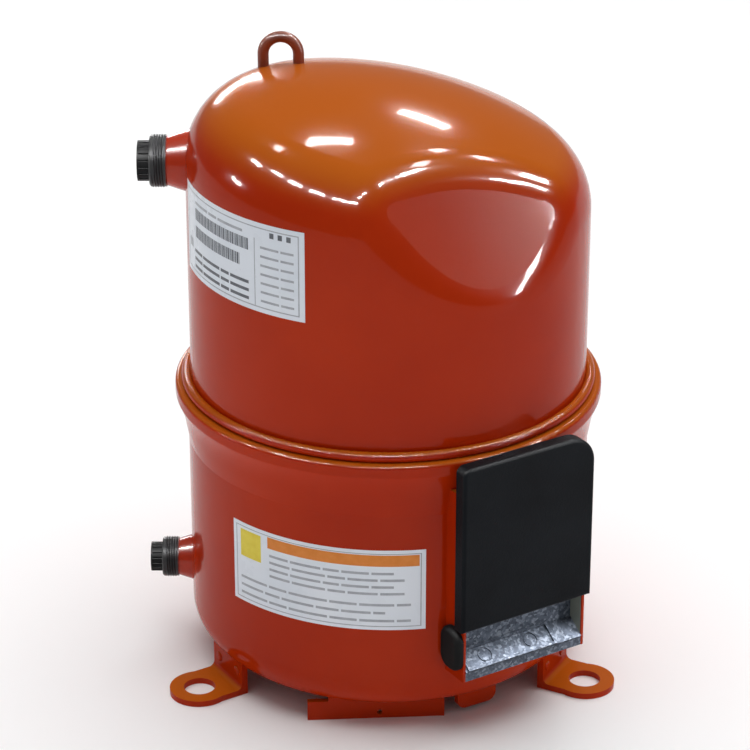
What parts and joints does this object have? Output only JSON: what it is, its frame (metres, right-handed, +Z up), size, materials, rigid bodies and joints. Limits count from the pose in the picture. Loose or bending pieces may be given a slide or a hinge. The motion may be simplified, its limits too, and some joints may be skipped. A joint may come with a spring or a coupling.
{
  "type": "scroll compressor",
  "caption": "Hermetic scroll compressor in a two-piece domed steel shell with ring weld, threaded ports, terminal box, feet and a lifting ring.",
  "frame": {"origin": "on the shell axis at the underside of the mounting feet", "axes": "+Z up along the shell and crankshaft axis, -Y towards the terminal box cover, ports at 147.5 degrees from +X"},
  "size_m": [0.2958, 0.287, 0.399],
  "materials": {
    "shell_paint": "gloss orange-red enamel",
    "dark_thread": "blackened machined steel",
    "zinc_plate": "galvanised sheet",
    "cover_plastic": "black moulded plastic, fine grain",
    "plug_plastic": "black moulded plastic",
    "boot_rubber": "matte black rubber",
    "gasket_foam": "closed-cell foam",
    "label_film": "white label film with grey printed fields",
    "cast_iron": "machined cast iron",
    "ground_steel": "ground steel",
    "core_steel": "stacked laminations",
    "copper_winding": "varnished copper wire",
    "rotor_metal": "cast aluminium cage on steel laminations",
    "weight_brass": "brass",
    "bearing_bronze": "bronze-backed lined bush",
    "seal_polymer": "filled polymer seal",
    "sealing_glass": "fused sealing glass",
    "pin_metal": "nickel-copper pin",
    "lead_insulation": "red silicone insulation",
    "magnet_ferrite": "sintered ferrite",
    "pressed_steel": "uncoated pressed steel"
  },
  "bodies": {
    "housing": {"upper_shell": "shell_paint", "lower_shell": "shell_paint", "weld_bead": "shell_paint", "foot_left": "shell_paint", "foot_right": "shell_paint", "foot_rear": "shell_paint", "base_rail": "shell_paint", "base_tab": "shell_paint", "lifting_ring": "shell_paint", "terminal_housing": "shell_paint", "rating_label": "label_film", "notice_label": "label_film", "discharge_stub": "dark_thread", "suction_stub": "dark_thread", "suction_baffle": "pressed_steel", "cover_gasket": "gasket_foam", "conduit_plate": "zinc_plate", "cable_boot": "boot_rubber", "ground_screw": "ground_steel", "terminal_plate": "ground_steel", "terminal_glass": "sealing_glass", "terminal_pins": "pin_metal", "lead_wires": "lead_insulation", "motor_protector": "lead_insulation", "stator_core": "core_steel", "stator_winding": "copper_winding", "stator_bolts": "ground_steel", "lower_bracket": "pressed_steel", "lower_bush": "bearing_bronze", "thrust_washer": "bearing_bronze", "main_frame": "cast_iron", "main_bush": "bearing_bronze", "thrust_plate": "ground_steel", "oldham_ring": "rotor_metal", "fixed_scroll": "cast_iron", "fixed_tip_seal": "seal_polymer", "scroll_bolts": "ground_steel", "valve_cage": "pressed_steel", "valve_screws": "ground_steel", "partition_plate": "pressed_steel", "plenum_seal": "seal_polymer", "relief_valve": "weight_brass", "chip_magnet": "magnet_ferrite"},
    "crank": {"crankshaft": "cast_iron", "rotor": "rotor_metal", "counterweight_upper": "weight_brass", "counterweight_lower": "weight_brass", "drive_bushing": "ground_steel", "oil_pickup": "pressed_steel"},
    "orbiter": {"orbiting_scroll": "cast_iron", "orbiting_bush": "bearing_bronze", "orbiting_tip_seal": "seal_polymer"},
    "check_valve": {"check_valve_disc": "ground_steel"},
    "box_cover": {"terminal_cover": "cover_plastic"},
    "discharge_cap": {"discharge_plug": "plug_plastic"},
    "suction_cap": {"suction_plug": "plug_plastic"}
  },
  "joints": [
    {"name": "crank_spin", "type": "hinge", "parent": "housing", "child": "crank", "pos_m": [0, 0, 0.12], "axis": [0, 0, 1], "continuous": true},
    {"name": "scroll_counter_turn", "type": "hinge", "parent": "crank", "child": "orbiter", "pos_m": [0.0052, 0, 0.225], "axis": [0, 0, 1], "continuous": true},
    {"name": "valve_lift", "type": "slide", "parent": "housing", "child": "check_valve", "axis": [0, 0, 1], "range_m": [0, 0.0035]},
    {"name": "cover_off", "type": "slide", "parent": "housing", "child": "box_cover", "axis": [0, -1, 0], "range_m": [0, 0.06]},
    {"name": "discharge_cap_off", "type": "slide", "parent": "housing", "child": "discharge_cap", "axis": [-0.8434, 0.5373, 0], "range_m": [0, 0.03]},
    {"name": "suction_cap_off", "type": "slide", "parent": "housing", "child": "suction_cap", "axis": [-0.8434, 0.5373, 0], "range_m": [0, 0.03]}
  ],
  "couplings": [
    {"joint": "scroll_counter_turn", "follows": "crank_spin", "ratio": -1}
  ]
}
